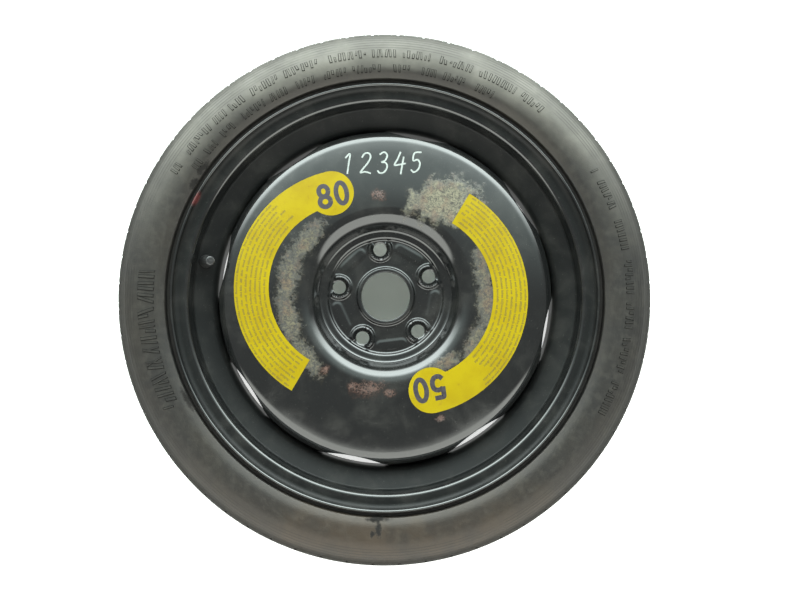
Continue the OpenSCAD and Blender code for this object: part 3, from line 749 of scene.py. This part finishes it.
def raised_bar(r0, r1, a0, a1, side, lean):
    """A low bar on a sidewall between two radii and two angles, leaning by some degrees."""
    r = np.linspace(r0 + BAR_TAPER, r1 - BAR_TAPER, BAR_STEPS + 1)
    foot_r = np.linspace(r0, r1, BAR_STEPS + 1)
    width = a1 - a0
    rows = []
    for radii, lift, inset in ((foot_r, -BAR_FOOT, 0), (foot_r, BAR_LINE, 0), (r, BAR_TOP, BAR_INSET)):
        for edge in (a0 + width * inset, a1 - width * inset):
            a = np.radians(edge + lean * (radii - r0) / (r1 - r0))
            z = side * (wall_height(radii) + lift) + MID_Z
            rows.append(np.stack([radii * np.cos(a), radii * np.sin(a), z], 1))
    round_the_bar = [0, 2, 4, 5, 3, 1]
    points = np.concatenate([rows[i] for i in round_the_bar])
    count = BAR_STEPS + 1
    faces = []
    for i in range(BAR_EDGES):
        for j in range(BAR_STEPS):
            k = (i + 1) % BAR_EDGES
            faces.append((i * count + j, i * count + j + 1, k * count + j + 1, k * count + j))
    ends = [tuple(i * count for i in range(BAR_EDGES)),
            tuple(i * count + BAR_STEPS for i in range(BAR_EDGES - 1, -1, -1))]
    return points, faces + ends


# Bands of bars: two radii, two of the photograph's angles, a bar's least and most width, the gap between
# bars, the least and most bars in a group, and how far a bar may lean
RELIEF_BANDS = [(277, 287, 50, 150, (1.8, 3.6), 2.4, (4, 9), 0.3),
                (277, 287, -29, 31, (1.8, 3.6), 2.4, (4, 8), 0.3),
                (260, 269, 62, 147, (1.6, 3.2), 2.4, (4, 9), 0.3),
                (265, 284, 174, 208, (2.0, 4.6), 3.2, (60, 70), 1.4)]


def relief_band(side, r0, r1, start, end, widths, gap, word, lean):
    """Bars in uneven groups. Some are cut short at their foot or top."""
    bars = []
    at, left = start, random.randint(*word)
    while at < end:
        wide = random.uniform(*widths) / r0
        low = r0 + random.choice((0, 0, 0.35)) * (r1 - r0) * (random.random() < 0.5)
        high = r1 - random.choice((0, 0, 0.35)) * (r1 - r0) * (random.random() < 0.4)
        if high - low < 3:
            high = r1
        a = at + PHOTO_TURN
        bars.append(raised_bar(low, high, a, a + math.degrees(wide), side, random.uniform(-lean, lean)))
        at += math.degrees(wide + gap / r0)
        left -= 1
        if left == 0:
            at += math.degrees(random.uniform(5, 14) / r0)
            left = random.randint(*word)
    return bars


marks = []
for side in (1, -1):
    for band in RELIEF_BANDS:
        marks += relief_band(side, *band)
relief = piece("sidewall_relief", *gather(marks), tyre_rubber, slot="tyre_rubber", sharp=25)
# The third strip of a bar's faces is its crown. The rest carries painted shade
CROWN_STRIP, BAR_FACES = 2, BAR_EDGES * BAR_STEPS + 2
relief.data.materials.append(flank_shade_rubber)
for number, face in enumerate(relief.data.polygons):
    face.material_index = int(number % BAR_FACES // BAR_STEPS != CROWN_STRIP)

# Labels: film that lies on the dome, with plain numerals and rows of fine ticks
LABEL_ROWS, HEAD_STEPS, BAND_STEPS = 12, 60, 149
DIGIT_PITCH, DIGIT_STROKE, DIGIT_BEND, DIGIT_TILT, DIGITS_RIGHT, DIGITS_LOW = 20.3, 5.5, 1.4, 2, 1.6, 2.2
INK_DEPTH, INK_OVERLAP = 0.05, 0.03
PRINT_ROWS, PRINT_PITCH, PRINT_INSET, PRINT_END = 7, 5.5, 4.1, 26
TICK_PITCH, TICK_WIDTHS, TICK_HEIGHTS, TICK_SUNK, TICK_PROUD = 1.3, (0.5, 0.8), (1.9, 1.9, 2.6), 0.02, 0.03
WORD_TICKS, WORD_GAPS = (4, 12), (1.1, 1.1, 2.6)


def drape(x, y, height):
    """A point on the dome, raised by height."""
    r = np.clip(np.hypot(x, y), DOME_START - 4, SHOULDER_R)
    return np.stack([x, y, dome_z(r) + height], -1)


def slab(rows, low, high):
    """A thin closed sheet over a grid of flat places, shape (rows, columns, 2)."""
    rows = np.asarray(rows, float)
    m, n = rows.shape[:2]
    top, bottom = (drape(rows[..., 0], rows[..., 1], h).reshape(-1, 3) for h in (high, low))
    faces = []
    for i in range(m - 1):
        for j in range(n - 1):
            a, b, c, d = i * n + j, i * n + j + 1, (i + 1) * n + j + 1, (i + 1) * n + j
            faces += [(a, b, c, d), (a + m * n, d + m * n, c + m * n, b + m * n)]
    border = [*range(n)] + [i * n + n - 1 for i in range(1, m)]
    border += [(m - 1) * n + j for j in range(n - 2, -1, -1)] + [i * n for i in range(m - 2, 0, -1)]
    for i, a in enumerate(border):
        b = border[(i + 1) % len(border)]
        faces.append((b, a, a + m * n, b + m * n))
    return np.vstack([top, bottom]), faces


def stroke(path, width, low, high):
    """A drawn line of a given width over the dome."""
    p = np.array(path, float)
    d = np.gradient(p, axis=0)
    d /= np.linalg.norm(d, axis=1)[:, None]
    side = np.stack([-d[:, 1], d[:, 0]], 1) * width / 2
    return slab([p + side, p - side], low, high)


def label_frame(side):
    """The middle of a label's arcs, and the direction of its round head from there."""
    distance, at, head = LABELS[side]
    return on_circle((0, 0), distance, at), head


def label_film(side):
    """A band between two arcs that starts in a round head."""
    centre, head = label_frame(side)
    head_at = LABEL_R - LABEL_HEAD_R
    reach = math.degrees(math.asin(LABEL_HEAD_R / head_at))
    turns = [-reach * math.cos(math.radians(t)) for t in np.linspace(0, 180, HEAD_STEPS + 1)]
    turns = [t for t in turns if t < reach * 0.999]
    turns += list(np.linspace(reach, LABEL_SPAN, BAND_STEPS + 1))
    rows = []
    for k in range(LABEL_ROWS + 1):
        row = []
        for t in turns:
            half = math.sqrt(max(LABEL_HEAD_R ** 2 - (head_at * math.sin(math.radians(t))) ** 2, 0.01))
            middle = head_at * math.cos(math.radians(t))
            inner, outer = middle - half, middle + half
            if t > 0:
                outer = LABEL_R
                inner = min(inner, LABEL_R - LABEL_W) if t < reach else LABEL_R - LABEL_W
            row.append(on_circle(centre, inner + (outer - inner) * k / LABEL_ROWS, head + t))
        rows.append(row)
    return slab(rows, 0.0, LABEL_FILM)


OVAL_STEPS = 40


def oval(x, y, half_w, half_h):
    turns = [math.tau * i / OVAL_STEPS for i in range(OVAL_STEPS + 1)]
    return [(x + half_w * math.cos(a), y + half_h * math.sin(a)) for a in turns]


# Numerals as the middle lines of their strokes, 12 wide and 25 high, about their own middle
NUMERALS = {
    "0": [oval(0, 0, 6.1, 12.4)],
    "8": [oval(0, 6.0, 5.4, 6.3), oval(0, -6.6, 6.2, 6.0)],
    "5": [[(6.0, 12.3), (-4.6, 12.3), (-5.2, 0.4)],
          [(-5.0, 1.6), (-3.0, 2.9), (0.2, 3.6), (3.4, 2.8), (5.6, 0.4), (6.3, -3.6), (5.6, -8.0),
           (3.2, -11.3), (-0.2, -12.4), (-3.6, -11.5), (-6.0, -8.6)]]}


def numerals(side, text):
    """Figures on a label's head, upright towards its outer edge. Where a figure has two strokes, the second
    lies on the first."""
    centre, head = label_frame(side)
    hx, hy = on_circle(centre, LABEL_R - LABEL_HEAD_R, head)
    up = math.radians(head - DIGIT_TILT)
    parts = []
    for i, digit in enumerate(text):
        shift = (i - (len(text) - 1) / 2) * DIGIT_PITCH
        for layer, line in enumerate(NUMERALS[digit]):
            path = line if len(line) > OVAL_STEPS else rounded([(*p, DIGIT_BEND) for p in line], 20)
            placed = []
            for x, y in path:
                x, y = x + shift + DIGITS_RIGHT, y - DIGITS_LOW
                placed.append((hx + x * math.sin(up) + y * math.cos(up),
                               hy - x * math.cos(up) + y * math.sin(up)))
            top = LABEL_FILM + INK_DEPTH + INK_OVERLAP * layer
            parts.append(stroke(placed, DIGIT_STROKE, LABEL_FILM - INK_DEPTH, top))
    return gather(parts)


def small_print(side):
    """Rows of ticks in uneven groups that follow the band."""
    centre, head = label_frame(side)
    parts = []
    for row in range(PRINT_ROWS):
        r = LABEL_R - LABEL_W + PRINT_INSET + PRINT_PITCH * row
        at = LABEL_SPAN - 1.5 - random.uniform(0, 3)
        while at > PRINT_END + random.uniform(0, 10):
            for _ in range(random.randint(*WORD_TICKS)):
                tall = random.choice(TICK_HEIGHTS)
                wide = math.degrees(random.uniform(*TICK_WIDTHS) / r)
                corners = [[on_circle(centre, r + h, head + at - w) for w in (0, wide)] for h in (0, tall)]
                parts.append(slab(corners, LABEL_FILM - TICK_SUNK, LABEL_FILM + TICK_PROUD))
                at -= math.degrees(TICK_PITCH / r)
            at -= math.degrees(random.choice(WORD_GAPS) / r)
    return gather(parts)


for side, number in (("left", "80"), ("right", "50")):
    piece("label_film_" + side, *label_film(side), film, ["speed_label_" + side], "yellow_film", sharp=50)
    piece("label_numerals_" + side, *numerals(side, number), print_ink, sharp=50)
    piece("label_small_print_" + side, *small_print(side), small_ink, sharp=50)

# Paint marker: a plain row of figures drawn by hand on the upper part of the dome
FIGURES_LEFT, FIGURES_LOW, FIGURE_PITCH, FIGURE_RISE, FIGURE_SLANT = -49, 142, 19.5, 0.6, 0.08
FIGURE_STRETCH, MARKER_WIDTH, PAINT_SUNK, PAINT_PROUD = 1.02, 1.9, 0.1, 0.08
HAND_FIGURES = [
    [[(0, 19), (5, 24), (4.5, 12), (4, 0)]],
    [[(0, 19), (3, 24), (8, 24), (10, 19), (7, 12), (2, 5), (0, 1), (5, 2), (12, 0)]],
    [[(1, 22), (6, 25), (10, 21), (8, 15), (4, 13), (9, 12), (11, 7), (8, 1), (3, 0), (0, 3)]],
    [[(6, 25), (3, 16), (0, 9), (6, 9.5), (13, 11)], [(10, 19), (9, 9), (8, -2)]],
    [[(11, 24), (3, 23), (2, 14), (7, 15), (10, 11), (9, 4), (4, 0), (0, 3)]]]


def curve_through(points, count=8):
    """A smooth line through given points."""
    p = np.array([points[0], *points, points[-1]], float)
    line = []
    for i in range(1, len(p) - 2):
        for t in np.linspace(0, 1, count, endpoint=False):
            line.append(0.5 * (2 * p[i] + (p[i + 1] - p[i - 1]) * t
                               + (2 * p[i - 1] - 5 * p[i] + 4 * p[i + 1] - p[i + 2]) * t ** 2
                               + (3 * p[i] - p[i - 1] - 3 * p[i + 1] + p[i + 2]) * t ** 3))
    return [tuple(q) for q in line] + [tuple(points[-1])]


marks = []
for i, figure in enumerate(HAND_FIGURES):
    for line in figure:
        placed = [photo_place(FIGURES_LEFT + i * FIGURE_PITCH + x + FIGURE_SLANT * y,
                              FIGURES_LOW + i * FIGURE_RISE + y * FIGURE_STRETCH)
                  for x, y in curve_through(line)]
        marks.append(stroke(placed, MARKER_WIDTH, -PAINT_SUNK, PAINT_PROUD))
piece("paint_marker_figures", *gather(marks), marker_paint, sharp=50)

# The core's spring: a coil at rest between the ends of the carried-over spring. On the real valve it
# shortens as the pin goes in
SPRING_R, SPRING_WIRE_R, SPRING_TURNS, PIN_TRAVEL = 0.95, 0.14, 6, 1.2
VALVE_LEAN = math.radians(20)
valve_up = Vector((math.sin(VALVE_LEAN), 0, math.cos(VALVE_LEAN)))
valve_side = Vector((0, 1, 0))
valve_ahead = valve_up.cross(valve_side)


def reach_along(node, direction):
    """How far a carried-over node reaches along a direction, in millimetres."""
    reaches = [(node.matrix_world @ corner.co).dot(direction) / MM for corner in node.data.vertices]
    return min(reaches), max(reaches)


def coil(foot, top, steps_per_turn=28, sides=8):
    """A round wire wound about the valve's axis between two points on it."""
    count = SPRING_TURNS * steps_per_turn
    rise = (top - foot - valve_up * 2 * SPRING_WIRE_R) / count
    points, faces = [], []
    for i in range(count + 1):
        a = math.tau * i / steps_per_turn
        out = valve_side * math.cos(a) + valve_ahead * math.sin(a)
        middle = foot + valve_up * SPRING_WIRE_R + rise * i + out * SPRING_R
        for j in range(sides):
            b = math.tau * j / sides
            points.append(tuple(middle + (out * math.cos(b) + valve_up * math.sin(b)) * SPRING_WIRE_R))
    for i in range(count):
        for j in range(sides):
            k = (j + 1) % sides
            faces.append((i * sides + j, i * sides + k, (i + 1) * sides + k, (i + 1) * sides + j))
    faces += [tuple(range(sides)), tuple(range(count * sides, (count + 1) * sides))]
    return points, faces


spring_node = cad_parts["valve_core_spring"]
spring_middle = Vector()
for way in (valve_side, valve_ahead):
    spring_middle += way * sum(reach_along(spring_node, way)) / 2
spring_foot, spring_top = (spring_middle + valve_up * end for end in reach_along(spring_node, valve_up))
spring = piece("valve_core_coil", *coil(spring_foot, spring_top), drawn_steel, ["valve_core_spring"],
               "pin_steel")
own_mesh(spring)

# Valve and the other carried-over pieces take their finishes
for name, material in {
        "valve_body": valve_rubber, "valve_stem": brass, "valve_core_body": brass,
        "valve_core_seal": valve_rubber, "valve_core_pin": drawn_steel, "valve_cap": cap_nylon,
        "valve_cap_seal": valve_rubber, "weld_seams": weld_steel}.items():
    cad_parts[name].data.materials.clear()
    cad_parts[name].data.materials.append(material)

# Floor: just under the wheel, and so wide that it ends beyond sight. Sizes are in metres
FLOOR_HALF, FLOOR_GAP = 40, 0.0005
floor_z = cad_box[0][2] - FLOOR_GAP
floor_mesh = bpy.data.meshes.new("studio_floor")
floor_corners = [(x * FLOOR_HALF, y * FLOOR_HALF, floor_z) for x, y in ((-1, -1), (1, -1), (1, 1), (-1, 1))]
floor_mesh.from_pydata(floor_corners, [], [(0, 1, 2, 3)])
floor = bpy.data.objects.new("studio_floor", floor_mesh)
bpy.context.scene.collection.objects.link(floor)
floor_mesh.materials.append(glowing_paper())

# Camera: above the wheel, a little to the photograph's lower side. Places are in metres
SENSOR_W, FOCAL_PIXELS, PICTURE_W = 36, 890, 800
CAMERA_LOW, CAMERA_H, AIM_RIGHT, AIM_LOW = 0.063, 1.0545, 0.017, 0.004
up_a = math.radians(90 + PHOTO_TURN)
photo_up = Vector((math.cos(up_a), math.sin(up_a), 0))
photo_right = Vector((math.sin(up_a), -math.cos(up_a), 0))
camera_data = bpy.data.cameras.new("camera")
camera_data.sensor_width = SENSOR_W
camera_data.lens = SENSOR_W * FOCAL_PIXELS / PICTURE_W
camera = bpy.data.objects.new("camera", camera_data)
bpy.context.scene.collection.objects.link(camera)
camera.location = photo_up * -CAMERA_LOW + Vector((0, 0, CAMERA_H))
aim = photo_right * AIM_RIGHT - photo_up * AIM_LOW
back = (camera.location - aim).normalized()
side = photo_up.cross(back).normalized()
top = back.cross(side)
camera.rotation_mode = "QUATERNION"
camera.rotation_quaternion = Matrix((side, top, back)).transposed().to_quaternion()
bpy.context.scene.camera = camera
bpy.context.scene.view_settings.view_transform = "Standard"

# Studio light: a pale room, with a tall bright side beyond the top of the photograph, a lit ceiling on that
# side and a dimmer, low side beyond the bottom
ROOM_LIGHT, BAND_LIGHT = (0.24, 0.245, 0.24), (7.6, 8.5, 8.3)
CEILING_LIGHT, LOW_LIGHT = (1.1, 1.35, 1.3), (2.85, 2.95, 2.75)
world = bpy.data.worlds.new("studio")
bpy.context.scene.world = world
world.use_nodes = True
world.node_tree.nodes.clear()
add = partial(add_node, world.node_tree)
direction = add("TexCoord", out="Generated")
height, ahead = (add("VectorMath", {"operation": "DOT_PRODUCT"}, (direction, toward), "Value")
                 for toward in ((0, 0, 1), tuple(photo_up)))


def lit_region(*limits):
    """1 where each direction given lies past its own limits, in sines, and 0 outside."""
    region = add("MapRange", SMOOTH, limits[0])
    for limit in limits[1:]:
        region = add("Math", TIMES, (region, add("MapRange", SMOOTH, limit)))
    return region


band = lit_region((height, 0.10, 0.30), (height, 0.85, 0.60), (ahead, 0.26, 0.74))
ceiling = lit_region((height, 0.3, 0.8), (ahead, 0.02, 0.5))
low_side = lit_region((height, 0.06, 0.25), (height, 0.854, 0.836), (ahead, -0.34, -0.47))
lit = ROOM_LIGHT
for light, region in ((BAND_LIGHT, band), (CEILING_LIGHT, ceiling), (LOW_LIGHT, low_side)):
    lit = add("VectorMath", {"operation": "MULTIPLY_ADD"}, (light, region, lit))
add("OutputWorld", {}, {"Surface": add("Background", {}, {"Color": lit, "Strength": 1.0})})
